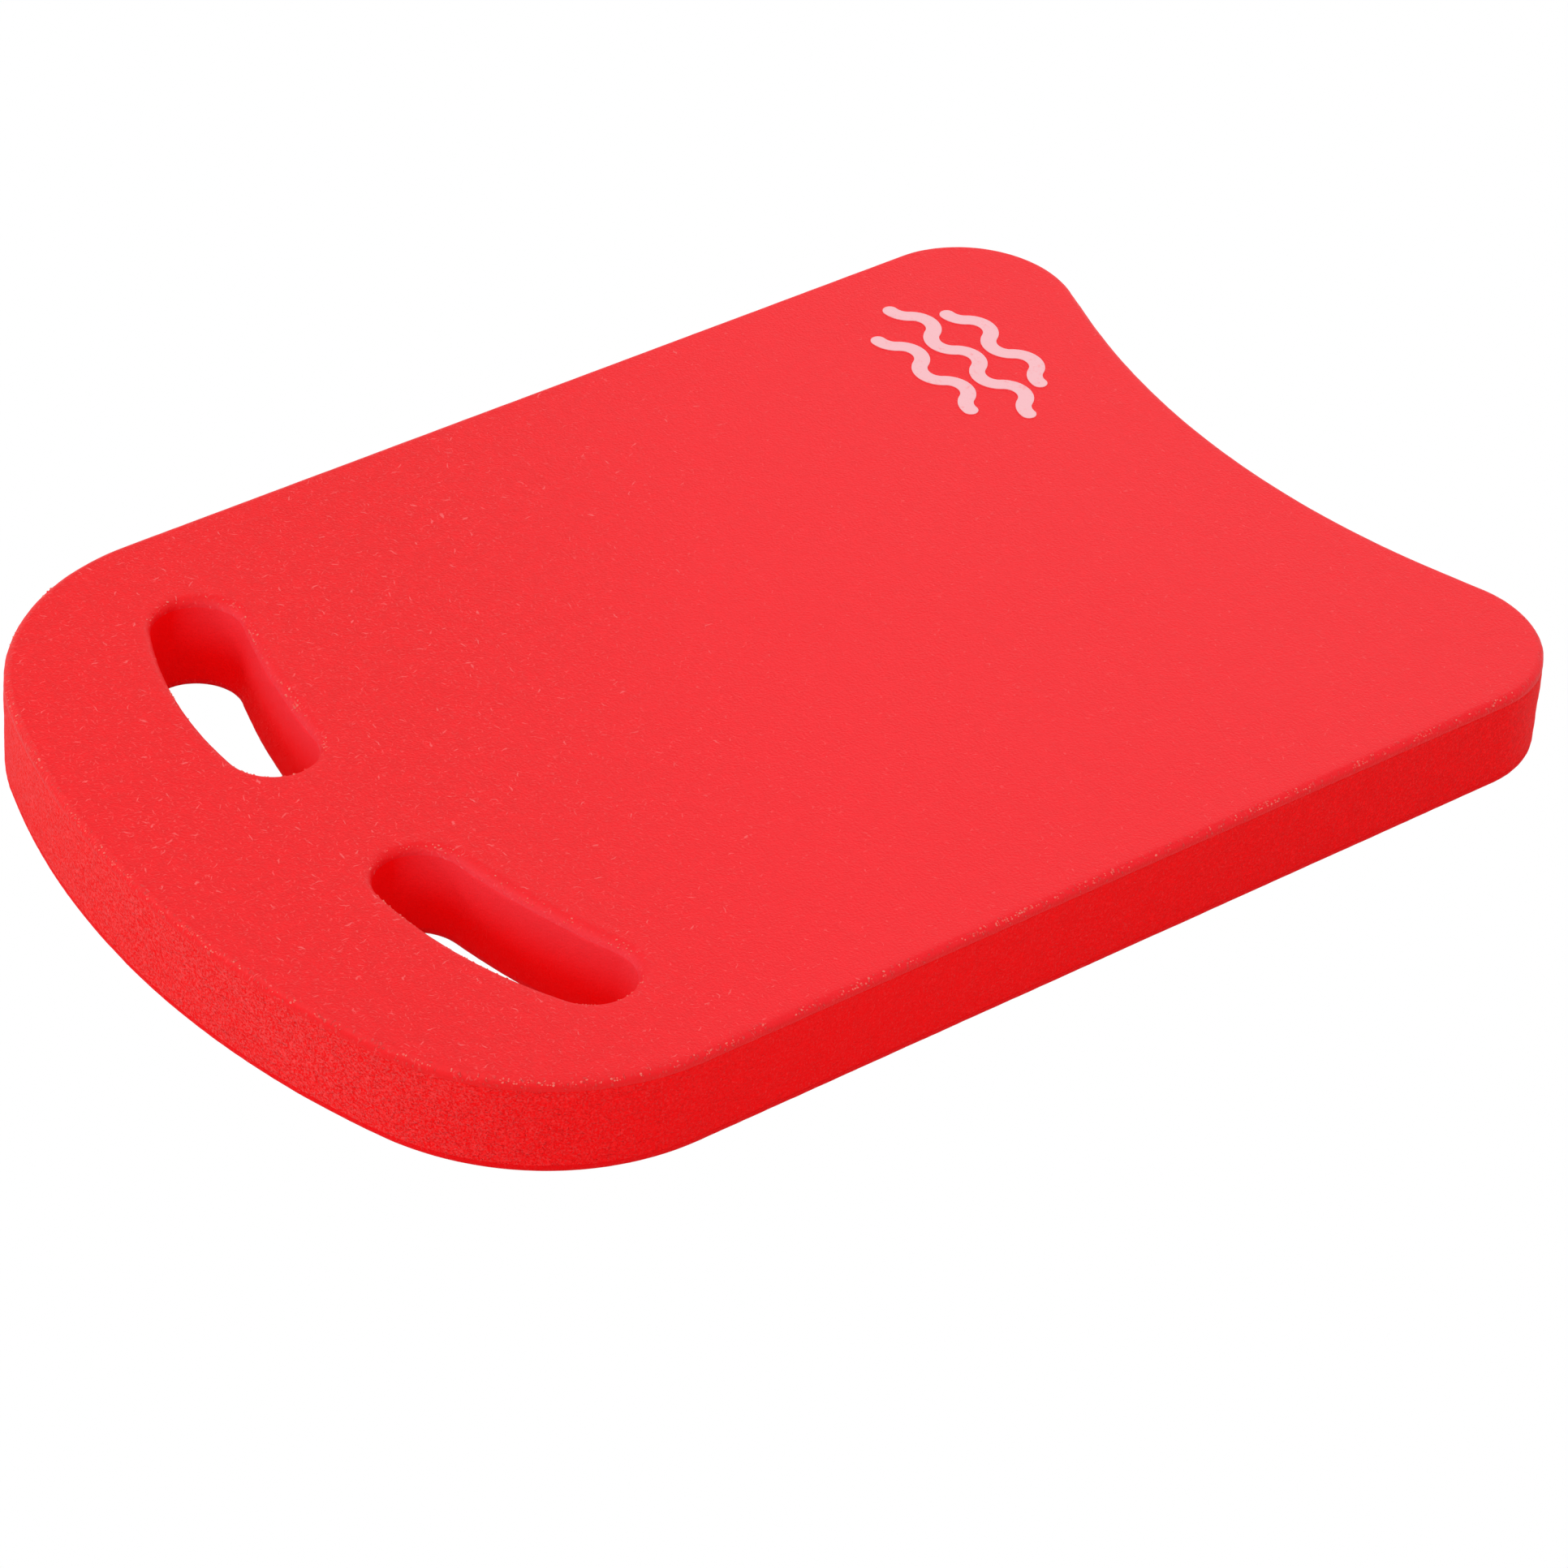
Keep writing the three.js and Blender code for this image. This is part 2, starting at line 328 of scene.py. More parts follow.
def rim_radii(obj):
    """The rim radius at every vertex: even all round, but soft on the palm side of each slot."""
    places = vertex_places(obj)
    softened = in_slots(places) & at_height(obj, THICKNESS)
    return RIM_RADIUS + (PALM_RIM_RADIUS - RIM_RADIUS) * palm_side(vertex_normals(obj)) ** 3 * softened


def board_blank():
    """The whole board, cut out, routed and rounded over, before it is parted into its layers."""
    blank = cut_plan("board_blank", 0)
    edit(blank)
    bpy.ops.mesh.select_mode(type="FACE")
    bpy.ops.mesh.select_all(action="SELECT")
    bpy.ops.mesh.extrude_region_move(TRANSFORM_OT_translate={"value": (0, 0, THICKNESS)})
    bpy.ops.mesh.select_all(action="SELECT")
    bpy.ops.mesh.normals_make_consistent(inside=False)
    leave_edit()
    lying = ~upright_faces(blank)
    edit(blank)
    choose(blank, "polygons", lying)
    bpy.ops.mesh.delete(type="FACE")
    leave_edit()
    ring_width = PALM_RIM_RADIUS + COLLAR
    close_end(blank, 0, ring_width, -1)
    close_end(blank, THICKNESS, ring_width, 1)
    rims = outline_edges(blank, 0) | outline_edges(blank, THICKNESS)
    edge_radii = rim_radii(blank)[edge_ends(blank)].mean(axis=1)
    weights = blank.data.attributes.new("bevel_weight_edge", "FLOAT", "EDGE")
    weights.data.foreach_set("value", (rims * edge_radii / PALM_RIM_RADIUS).astype(np.float32))
    apply_modifier(blank, "BEVEL", limit_method="WEIGHT", width=PALM_RIM_RADIUS, segments=RIM_STEPS,
                   profile=0.5, use_clamp_overlap=False)
    return blank


def part_at(obj, height, keep_above):
    """Parts the board along a bond, keeps one side, and eases its outer edge into a fine groove."""
    edit(obj)
    bpy.ops.mesh.select_all(action="SELECT")
    bpy.ops.mesh.bisect(plane_co=(0, 0, height), plane_no=(0, 0, 1), clear_inner=keep_above,
                        clear_outer=not keep_above, threshold=WELD)
    leave_edit()
    close_end(obj, height, BOND_CHAMFER + COLLAR, -1 if keep_above else 1)
    outer = ~in_slots(vertex_places(obj))[edge_ends(obj)].any(axis=1)
    edit(obj)
    choose(obj, "edges", outline_edges(obj, height) & outer)
    bpy.ops.mesh.bevel(offset=BOND_CHAMFER, segments=1, affect="EDGES")
    leave_edit()


def foam_layer(blank, name, low, high):
    """A copy of the board with only what lies between two heights."""
    layer = blank.copy()
    layer.data = blank.data.copy()
    layer.name = name
    layer.data.name = name
    bpy.context.collection.objects.link(layer)
    if low > 0:
        part_at(layer, low, keep_above=True)
    if high < THICKNESS:
        part_at(layer, high, keep_above=False)
    return layer


def divide_walls(obj):
    """Cuts the walls into rows, so that they can take relief."""
    places = vertex_places(obj)
    ends = edge_ends(obj)
    reach = np.abs(places[ends[:, 0]] - places[ends[:, 1]])
    upright = (reach[:, 2] > 2 * WALL_ROW_STEP) & (reach[:, :2].max(axis=1) < WELD)
    edit(obj)
    choose(obj, "edges", upright)
    bpy.ops.mesh.subdivide(number_cuts=round(reach[:, 2].max() / WALL_ROW_STEP) - 1)
    leave_edit()


def write_mask(obj, name, values):
    mask = obj.data.attributes.new(name, "FLOAT", "POINT")
    mask.data.foreach_set("value", np.asarray(values, dtype=np.float32))


def in_slots(places):
    """True for the points that lie on a hand slot's walls or rims."""
    across = np.abs(places[:, 0]) < SLOT_REGION_X
    ahead = (places[:, 1] > SLOT_REGION_Y[0]) & (places[:, 1] < SLOT_REGION_Y[1])
    return across & ahead


def mark_foam(obj):
    """Notes where the rims and the slots are, for the finishes, and how far relief may act."""
    places = vertex_places(obj)
    normals = vertex_normals(obj)
    upright_share = 1 - np.abs(normals[:, 2])
    slot = in_slots(places)
    write_mask(obj, "rim", (upright_share > FLAT_LIMIT) & ~slot)
    write_mask(obj, "slot", slot)
    write_mask(obj, "palm", slot * palm_side(normals))
    group = obj.vertex_groups.new(name="relief")
    grades = np.round(upright_share * RELIEF_GRADES).astype(int)
    for grade in range(1, RELIEF_GRADES + 1):
        group.add([int(i) for i in np.flatnonzero(grades == grade)], grade / RELIEF_GRADES, "REPLACE")


def add_relief(obj, size, depth):
    """Pushes the rims and walls in and out a little, in soft lumps of this size."""
    lumps = bpy.data.textures.new(f"{obj.name}_lumps", "CLOUDS")
    lumps.noise_scale = size
    lumps.noise_depth = 1
    apply_modifier(obj, "DISPLACE", texture=lumps, texture_coords="LOCAL", mid_level=0.5,
                   strength=depth, vertex_group="relief")


def finish_foam(obj, node, material):
    make_active(obj)
    bpy.ops.object.shade_smooth_by_angle(angle=SMOOTH_ANGLE)
    give_material(obj, material)
    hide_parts(node)
    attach(obj, "root")


# ------------------------------------------------------------------ node trees
def put_inputs(node, values, tree):
    for key, value in values.items():
        socket = node.inputs[key]
        if isinstance(value, bpy.types.NodeSocket):
            tree.links.new(value, socket)
        else:
            socket.default_value = value


def add_node(tree, kind, values=None, **settings):
    node = tree.nodes.new(kind)
    for key, value in settings.items():
        setattr(node, key, value)
    put_inputs(node, values or {}, tree)
    return node


def calculate(tree, operation, *values):
    return add_node(tree, "ShaderNodeMath", dict(enumerate(values)), operation=operation).outputs["Value"]


def times(tree, first, *others):
    product = first
    for factor in others:
        product = calculate(tree, "MULTIPLY", product, factor)
    return product


def vector_math(tree, operation, *values):
    node = add_node(tree, "ShaderNodeVectorMath", operation=operation)
    for index, value in enumerate(values):
        put_inputs(node, {"Scale" if operation == "SCALE" and index == 1 else index: value}, tree)
    return node.outputs["Value" if operation in ("LENGTH", "DOT_PRODUCT") else "Vector"]


def ramp(tree, value, low, high, to_low=0.0, to_high=1.0):
    """Maps a value between two ends, smoothly, and holds it there outside them."""
    values = {"Value": value, "From Min": low, "From Max": high, "To Min": to_low, "To Max": to_high}
    return add_node(tree, "ShaderNodeMapRange", values, interpolation_type="SMOOTHSTEP").outputs["Result"]


def blend_colours(tree, share, first, second):
    node = add_node(tree, "ShaderNodeMix", data_type="RGBA")
    put_inputs(node, {0: share, 6: first, 7: second}, tree)
    return node.outputs[2]


def noise(tree, vector, scale, detail=2.0, roughness=0.5, distortion=0.0):
    values = {"Vector": vector, "Scale": scale, "Detail": detail, "Roughness": roughness,
              "Distortion": distortion}
    return add_node(tree, "ShaderNodeTexNoise", values).outputs["Fac"]


def distance_toward(tree, position, heading):
    """How far each point lies from the board's middle, along a heading in plan."""
    return vector_math(tree, "DOT_PRODUCT", position, (*heading, 0))


def new_group(name, inputs, outputs):
    """An empty node group. inputs gives each socket's kind and value, outputs its kind."""
    tree = bpy.data.node_groups.new(name, "ShaderNodeTree")
    for label, (kind, value) in inputs.items():
        socket = tree.interface.new_socket(label, in_out="INPUT", socket_type=f"NodeSocket{kind}")
        if value is not None:
            socket.default_value = value
    for label, kind in outputs.items():
        tree.interface.new_socket(label, in_out="OUTPUT", socket_type=f"NodeSocket{kind}")
    return tree, tree.nodes.new("NodeGroupInput").outputs, tree.nodes.new("NodeGroupOutput")


def place_group(tree, group, **values):
    node = add_node(tree, "ShaderNodeGroup", node_tree=group)
    put_inputs(node, {key.replace("_", " "): value for key, value in values.items()}, tree)
    return node.outputs


def make_grain_group():
    """The close pebbled grain of a foam skin."""
    tree, given, result = new_group(
        "foam_grain",
        {"Position": ("Vector", None), "Cells per metre": ("Float", 900.0)},
        {"Height": "Float", "Mottle": "Float"},
    )
    fine = noise(tree, given["Position"], given["Cells per metre"], detail=3.0, roughness=0.6)
    broad = noise(tree, given["Position"], times(tree, given["Cells per metre"], 0.16))
    mottle = calculate(tree, "MULTIPLY_ADD", fine, 0.6, times(tree, broad, 0.4))
    tree.links.new(fine, result.inputs["Height"])
    tree.links.new(mottle, result.inputs["Mottle"])
    return tree


def make_fleck_group():
    """Scattered short curved flecks, each turned its own way."""
    tree, given, result = new_group(
        "curved_flecks",
        {
            "Position": ("Vector", None),
            "Cells per metre": ("Float", 300.0),
            "Length": ("Float", 0.8 * MM),
            "Width": ("Float", 0.2 * MM),
            "Share": ("Float", 0.5),
        },
        {"Mask": "Float"},
    )
    bend_scale = times(tree, given["Cells per metre"], 1.1)
    bend = add_node(tree, "ShaderNodeTexNoise", {"Vector": given["Position"], "Scale": bend_scale})
    shift = vector_math(tree, "SUBTRACT", bend.outputs["Color"], (0.5, 0.5, 0.5))
    shift = vector_math(tree, "SCALE", shift, times(tree, given["Length"], 2.2))
    bent = vector_math(tree, "ADD", given["Position"], shift)
    cells = add_node(tree, "ShaderNodeTexVoronoi", {"Vector": bent, "Scale": given["Cells per metre"]})
    draws = add_node(tree, "ShaderNodeSeparateColor", {"Color": cells.outputs["Color"]}).outputs
    offset = vector_math(tree, "SUBTRACT", bent, cells.outputs["Position"])
    angle = times(tree, draws["Red"], math.pi)
    turned = add_node(tree, "ShaderNodeVectorRotate", {"Vector": offset, "Angle": angle},
                      rotation_type="Z_AXIS").outputs["Vector"]
    axes = add_node(tree, "ShaderNodeSeparateXYZ", {"Vector": turned}).outputs
    long_part = calculate(tree, "DIVIDE", axes["X"], given["Length"])
    side_part = calculate(tree, "DIVIDE", axes["Y"], given["Width"])
    deep_part = calculate(tree, "DIVIDE", axes["Z"], given["Length"])
    joined = add_node(tree, "ShaderNodeCombineXYZ", {"X": long_part, "Y": side_part, "Z": deep_part})
    reach = vector_math(tree, "LENGTH", joined.outputs["Vector"])
    body = ramp(tree, reach, 1.0, 0.4)
    shown = calculate(tree, "LESS_THAN", draws["Green"], given["Share"])
    strength = calculate(tree, "MULTIPLY_ADD", draws["Blue"], 0.7, 0.3)
    tree.links.new(times(tree, body, shown, strength), result.inputs["Mask"])
    return tree


def make_crease_group():
    """Fine curling creases, as cut foam shows where its skin has drawn together."""
    tree, given, result = new_group(
        "curling_creases",
        {
            "Position": ("Vector", None),
            "Creases per metre": ("Float", 500.0),
            "Curl": ("Float", 1.5),
        },
        {"Height": "Float"},
    )
    field = noise(tree, given["Position"], given["Creases per metre"], detail=1.0, distortion=given["Curl"])
    ridge = calculate(tree, "ABSOLUTE", calculate(tree, "SUBTRACT", field, 0.5))
    tree.links.new(ramp(tree, ridge, 0.0, 0.16), result.inputs["Height"])
    return tree


GRAIN = make_grain_group()
FLECKS = make_fleck_group()
CREASES = make_crease_group()

# foam and ink colours, as linear light
RED_SKIN = (0.976, 0.0060, 0.0148, 1)
# painted shade: the skin's colour towards the nose, darker and less pale
RED_SKIN_NOSE_SHADE = (0.935, 0.0030, 0.0075, 1)
RED_CUT = (0.995, 0.0008, 0.0024, 1)
# darker red for the grain's mottle, and for the painted shade in the cut side's creases
GRAIN_AND_SHADE_RED = (0.60, 0.0030, 0.0040, 1)
# painted shade: the colour of the rim's shaded lower part
RIM_SHADE_RED = (0.80, 0.0008, 0.0018, 1)
# pale flecks and specks, also used for painted highlights and sheen
PALE_FLECK_AND_SHEEN = (0.98, 0.17, 0.17, 1)
PALE_CRUMB = (0.90, 0.23, 0.18, 1)
PALE_INK = (0.95, 0.50, 0.54, 1)
# painted sheen: the pale colour laid on the slots' palm-side walls
PALE_SHEEN = (0.99, 0.17, 0.23, 1)


def new_material(name, roughness, specular_level):
    material = bpy.data.materials.new(name)
    material.use_nodes = True
    tree = material.node_tree
    shader = tree.nodes["Principled BSDF"]
    shader.inputs["Roughness"].default_value = roughness
    shader.inputs["Specular IOR Level"].default_value = specular_level
    position = add_node(tree, "ShaderNodeTexCoord").outputs["Object"]
    return material, tree, shader, position


def read_mask(tree, name):
    return add_node(tree, "ShaderNodeAttribute", attribute_name=name).outputs["Fac"]


def bump(tree, height, distance, normal=None):
    values = {"Height": height, "Strength": 1.0, "Distance": distance}
    if normal is not None:
        values["Normal"] = normal
    return add_node(tree, "ShaderNodeBump", values).outputs["Normal"]


def painted_slot_sheen(tree, height):
    """How much painted sheen a slot's palm-side wall gets: most of all just under the rim."""
    rising = ramp(tree, height, THICKNESS * 0.3, UPPER_BOND, 0.0, 0.24)
    fading = ramp(tree, height, UPPER_BOND, THICKNESS, 1.0, 0.1)
    return times(tree, read_mask(tree, "palm"), rising, fading)


def skin_flecks(tree, position, nose_grain_and_shade):
    """The pale flecks in a face sheet: many fine ones and a few long ones, thickest towards the nose."""
    dense_share = calculate(tree, "MULTIPLY_ADD", nose_grain_and_shade, 0.8, 0.15)
    dense = place_group(tree, FLECKS, Position=position, Cells_per_metre=520.0, Length=1.0 * MM,
                        Width=0.22 * MM, Share=dense_share)["Mask"]
    sparse = place_group(tree, FLECKS, Position=position, Cells_per_metre=230.0, Length=1.6 * MM,
                         Width=0.3 * MM, Share=times(tree, nose_grain_and_shade, 0.42))["Mask"]
    return calculate(tree, "MAXIMUM", times(tree, dense, 0.42), times(tree, sparse, 0.72))


def make_skin_foam(name, specular_level, scuffs_and_highlight, band_low, band_high):
    """The pressed skin of a face sheet: grained and flecked, most of all towards the nose, and painted
    darker there as shade.

    The rim has painted shade below band_low, and has the colour of the face above band_high."""
    material, tree, shader, position = new_material(name, 0.5, specular_level)
    rim = read_mask(tree, "rim")
    axes = add_node(tree, "ShaderNodeSeparateXYZ", {"Vector": position}).outputs
    grain = place_group(tree, GRAIN, Position=position, Cells_per_metre=1300.0)
    nose_grain_and_shade = ramp(tree, distance_toward(tree, position, (-0.5, -0.85)), -30 * MM, 120 * MM)
    flecks = skin_flecks(tree, position, nose_grain_and_shade)
    mottle = times(tree, ramp(tree, grain["Mottle"], 0.35, 0.65),
                   calculate(tree, "MULTIPLY_ADD", nose_grain_and_shade, 0.13, 0.1))
    # painted shade: the skin is made darker towards the nose
    base = blend_colours(tree, nose_grain_and_shade, RED_SKIN, RED_SKIN_NOSE_SHADE)
    base = blend_colours(tree, mottle, base, GRAIN_AND_SHADE_RED)
    base = blend_colours(tree, flecks, base, PALE_FLECK_AND_SHEEN)

    # painted shade: the lower part of the rim is painted darker, strongest on the right side
    side = ramp(tree, axes["X"], HALF_WIDTH * 0.6, HALF_WIDTH * 0.95, 0.4, 1.0)
    painted_rim_shade = times(tree, side, ramp(tree, axes["Z"], band_low, band_high, 1.0, 0.0))
    base = blend_colours(tree, times(tree, painted_rim_shade, times(tree, rim, 0.8)), base, RIM_SHADE_RED)

    # painted highlight: the rim's crest is painted paler towards the nose
    crest = times(tree, rim, ramp(tree, axes["Z"], THICKNESS - 1.1 * MM, THICKNESS - 0.4 * MM))
    base = blend_colours(tree, times(tree, crest, times(tree, nose_grain_and_shade, 0.07 * scuffs_and_highlight)), base, PALE_FLECK_AND_SHEEN)

    # and the rim is scuffed in crumbs, except at its foot
    crumbs = place_group(tree, FLECKS, Position=position, Cells_per_metre=1000.0, Length=0.6 * MM,
                         Width=0.4 * MM, Share=0.3)["Mask"]
    crumbs = times(tree, crumbs, ramp(tree, axes["Z"], band_low - 0.8 * MM, band_low + 0.2 * MM))
    base = blend_colours(tree, times(tree, crumbs, times(tree, rim, 0.26 * scuffs_and_highlight)), base, PALE_CRUMB)

    # painted sheen on the palm side of each slot, just under the rim
    base = blend_colours(tree, painted_slot_sheen(tree, axes["Z"]), base, PALE_SHEEN)
    tree.links.new(base, shader.inputs["Base Color"])
    relief = bump(tree, grain["Height"], 0.3 * MM)
    relief = bump(tree, times(tree, crumbs, rim), 0.3 * MM * scuffs_and_highlight, relief)
    relief = bump(tree, flecks, 0.1 * MM, relief)
    tree.links.new(relief, shader.inputs["Normal"])
    return material


def make_cut_foam():
    """The cut side of the core, creased on the outside and smoother in the slots."""
    material, tree, shader, position = new_material("cut_foam_side", 0.65, 0.07)
    outside = calculate(tree, "SUBTRACT", 1.0, read_mask(tree, "slot"))
    axes = add_node(tree, "ShaderNodeSeparateXYZ", {"Vector": position}).outputs
    grain = place_group(tree, GRAIN, Position=position, Cells_per_metre=1500.0)
    fine = place_group(tree, CREASES, Position=position, Creases_per_metre=720.0, Curl=1.0)["Height"]
    stretched = vector_math(tree, "MULTIPLY", position, (0.4, 0.4, 1.0))
    streaks = place_group(tree, CREASES, Position=stretched, Creases_per_metre=380.0, Curl=0.5)["Height"]

    # painted shade: darker in the creases, most of all towards the right tail lobe, on top of the grain's
    # own mottle
    toward_tail = distance_toward(tree, position, (0.6, 0.8))
    painted_crease_shade = ramp(tree, toward_tail, 20 * MM, 230 * MM, 0.09, 0.34)
    mottle = calculate(tree, "ADD", times(tree, ramp(tree, grain["Mottle"], 0.45, 0.70), 0.18),
                       times(tree, calculate(tree, "SUBTRACT", 1.0, fine), painted_crease_shade))
    mottle = times(tree, mottle, calculate(tree, "MULTIPLY_ADD", outside, 0.8, 0.2))
    base = blend_colours(tree, mottle, RED_CUT, GRAIN_AND_SHADE_RED)

    # painted sheen: paler round the left of the nose, on the creases and the grain
    toward_left_nose = distance_toward(tree, position, (-0.75, -0.66))
    painted_nose_sheen = times(tree, outside, ramp(tree, toward_left_nose, -40 * MM, 100 * MM, 0.01, 0.245))
    pale_spread = calculate(tree, "ADD", ramp(tree, fine, 0.0, 1.0, 0.0, 0.6),
                            ramp(tree, grain["Height"], 0.42, 0.62, 0.0, 1.1))
    base = blend_colours(tree, times(tree, painted_nose_sheen, pale_spread), base, PALE_FLECK_AND_SHEEN)

    # painted sheen on the palm side of each slot, below the rim
    base = blend_colours(tree, painted_slot_sheen(tree, axes["Z"]), base, PALE_SHEEN)
    # painted highlight: the raised points of the grain are made paler
    painted_grain_glints = times(tree, outside, ramp(tree, grain["Height"], 0.54, 0.68, 0.0, 0.10))
    base = blend_colours(tree, painted_grain_glints, base, PALE_FLECK_AND_SHEEN)
    specks = place_group(tree, FLECKS, Position=position, Cells_per_metre=800.0, Length=0.6 * MM,
                         Width=0.3 * MM, Share=0.5)["Mask"]
    base = blend_colours(tree, times(tree, specks, times(tree, outside, 0.12)), base, PALE_FLECK_AND_SHEEN)
    tree.links.new(base, shader.inputs["Base Color"])

    near_nose = ramp(tree, axes["Y"], NOSE_Y * 0.3, NOSE_Y * 0.9)
    creased = times(tree, outside, calculate(tree, "MULTIPLY_ADD", near_nose, 0.5, 0.5))
    grained = times(tree, grain["Height"], calculate(tree, "MULTIPLY_ADD", outside, 0.4, 1.0))
    relief = bump(tree, grained, 0.3 * MM)
    relief = bump(tree, times(tree, fine, creased), 0.14 * MM, relief)
    relief = bump(tree, times(tree, streaks, creased), 0.2 * MM, relief)
    tree.links.new(relief, shader.inputs["Normal"])
    return material


def make_ink():
    """Thin pale ink, worn through to the red here and there."""
    material, tree, shader, position = new_material("pale_screen_ink", 0.45, 0.4)
    grain = place_group(tree, GRAIN, Position=position, Cells_per_metre=850.0)
    worn = ramp(tree, grain["Mottle"], 0.56, 0.72, 0.0, 0.35)
    tree.links.new(blend_colours(tree, worn, PALE_INK, RED_SKIN), shader.inputs["Base Color"])
    tree.links.new(bump(tree, grain["Height"], 0.08 * MM), shader.inputs["Normal"])
    return material


def make_crumb_foam():
    """Torn foam, paler than the skin it hangs from."""
    material, tree, shader, position = new_material("pale_foam_crumb", 0.7, 0.3)
    grain = place_group(tree, GRAIN, Position=position, Cells_per_metre=1400.0)
    reddened = ramp(tree, grain["Mottle"], 0.35, 0.65)
    tree.links.new(blend_colours(tree, reddened, PALE_CRUMB, RED_SKIN), shader.inputs["Base Color"])
    tree.links.new(bump(tree, grain["Height"], 0.1 * MM), shader.inputs["Normal"])
    return material


TOP_SKIN = make_skin_foam("pressed_foam_skin", specular_level=0.23, scuffs_and_highlight=1.0,
                          band_low=THICKNESS - 2.1 * MM, band_high=THICKNESS - 0.7 * MM)
UNDER_SKIN = make_skin_foam("under_foam_skin", specular_level=0.06, scuffs_and_highlight=0.0,
                            band_low=LOWER_BOND, band_high=UPPER_BOND)
CUT_FOAM = make_cut_foam()
PRINTED_INK = make_ink()
CRUMB_FOAM = make_crumb_foam()


# ------------------------------------------------------------------ the printed waves
WAVE_RISE = 3.4 * MM
WAVE_PITCH = 24 * MM
INK_STROKE_WIDTH = 5.2 * MM
WAVE_TURN = 2 * math.atan2(WAVE_RISE, WAVE_PITCH / 4)
WAVE_RADIUS = WAVE_PITCH / 4 / math.sin(WAVE_TURN)
WAVE_ARC_STEPS = 14
CAP_STEPS = 12


def sweep_stroke(centre, angle, steps):
    """Carries the selected edge of the stroke round centre. A plus angle turns it to the left."""
    bpy.ops.mesh.spin(steps=steps, angle=-angle, center=centre, axis=(0, 0, 1))


def round_stroke_end(obj, x, y, z, to_right):
    """Closes one end of the stroke with a half circle."""
    places = vertex_places(obj)
    at_end = np.abs(places[:, 0] - x) < WELD
    below = places[:, 1] < y + WELD
    edit(obj)
    choose(obj, "vertices", at_end & below)
    bpy.ops.mesh.select_mode(type="EDGE")
    sweep_stroke((x, y, z), math.pi if to_right else -math.pi, CAP_STEPS)
    leave_edit()


def printed_wave(name, node):
    """One wavy stroke of ink with round ends, laid where its node is."""
    low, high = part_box(node)
    z = low.z
    crests = round((high.x - low.x) / WAVE_PITCH)
    length = crests * WAVE_PITCH
    middle = (low + high) / 2
    left = middle.x - length / 2
    trough = middle.y - WAVE_RISE
    wave = start_point(name, Vector((left, trough - INK_STROKE_WIDTH / 2)), z)
    for _ in range(2):
        bpy.ops.mesh.extrude_region_move(TRANSFORM_OT_translate={"value": (0, INK_STROKE_WIDTH / 2, 0)})
    bpy.ops.mesh.select_all(action="SELECT")
    bpy.ops.mesh.select_mode(type="EDGE")
    above = trough + WAVE_RADIUS
    below = middle.y + WAVE_RISE - WAVE_RADIUS
    sweep_stroke((left, above, z), WAVE_TURN, WAVE_ARC_STEPS)
    for crest in range(crests):
        sweep_stroke((left + (crest + 0.5) * WAVE_PITCH, below, z), -2 * WAVE_TURN, 2 * WAVE_ARC_STEPS)
        last = crest == crests - 1
        turn = WAVE_TURN if last else 2 * WAVE_TURN
        steps = WAVE_ARC_STEPS if last else 2 * WAVE_ARC_STEPS
        sweep_stroke((left + (crest + 1) * WAVE_PITCH, above, z), turn, steps)
    leave_edit()
    round_stroke_end(wave, left + length, trough, z, True)
    round_stroke_end(wave, left, trough, z, False)
    edit(wave)
    bpy.ops.mesh.select_all(action="SELECT")
    bpy.ops.mesh.remove_doubles(threshold=WELD)
    bpy.ops.mesh.normals_make_consistent(inside=False)
    bpy.ops.mesh.extrude_region_move(TRANSFORM_OT_translate={"value": (0, 0, high.z - z)})
    bpy.ops.mesh.select_all(action="SELECT")
    bpy.ops.mesh.normals_make_consistent(inside=False)
    leave_edit()
    bpy.ops.object.shade_smooth_by_angle(angle=SMOOTH_ANGLE)
    give_material(wave, PRINTED_INK)
    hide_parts(node)
    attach(wave, "root")


# ------------------------------------------------------------------ foam nibs on the rims
NIB_CLUSTERS = 180
NIBS_IN_CLUSTER = (2, 6)
NIB_REACH = 5 * MM
NIB_SIZE = (0.16 * MM, 0.36 * MM)
NIB_STRETCH = (0.8, 1.7)
NIB_HEIGHT = 0.7             # of its size
NIB_TILT = 0.5
NIB_SEED = 31
NIB_HEADING = (0.77, -0.64)  # nibs lie on the rim this way from the middle: on the right and the nose
NIB_SIDE = -10 * MM
CREST_LOW = 0.6              # how upright the normal is where the rim's crest starts and ends
CREST_HIGH = 0.97


